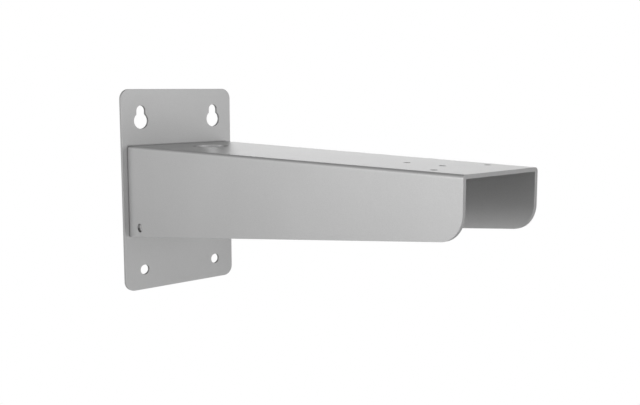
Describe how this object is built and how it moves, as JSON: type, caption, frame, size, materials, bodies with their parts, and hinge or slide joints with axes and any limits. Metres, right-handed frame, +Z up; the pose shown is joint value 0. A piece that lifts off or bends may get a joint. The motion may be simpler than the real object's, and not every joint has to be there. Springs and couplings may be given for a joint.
{
  "type": "camera wall bracket",
  "caption": "Wall bracket for a camera: a tapered upside-down channel arm on an upright plate with keyholes, with a cable hole and a hole circle for the camera.",
  "frame": {"origin": "middle of the plate's wall face", "axes": "+X out of the wall along the arm, +Y to the side, +Z up"},
  "size_m": [0.403, 0.13, 0.2],
  "materials": {
    "painted_steel": "satin silver-grey powder coat"
  },
  "bodies": {
    "root": {"wall_plate": "painted_steel", "support_arm": "painted_steel", "inner_welds": "painted_steel"}
  },
  "joints": []
}
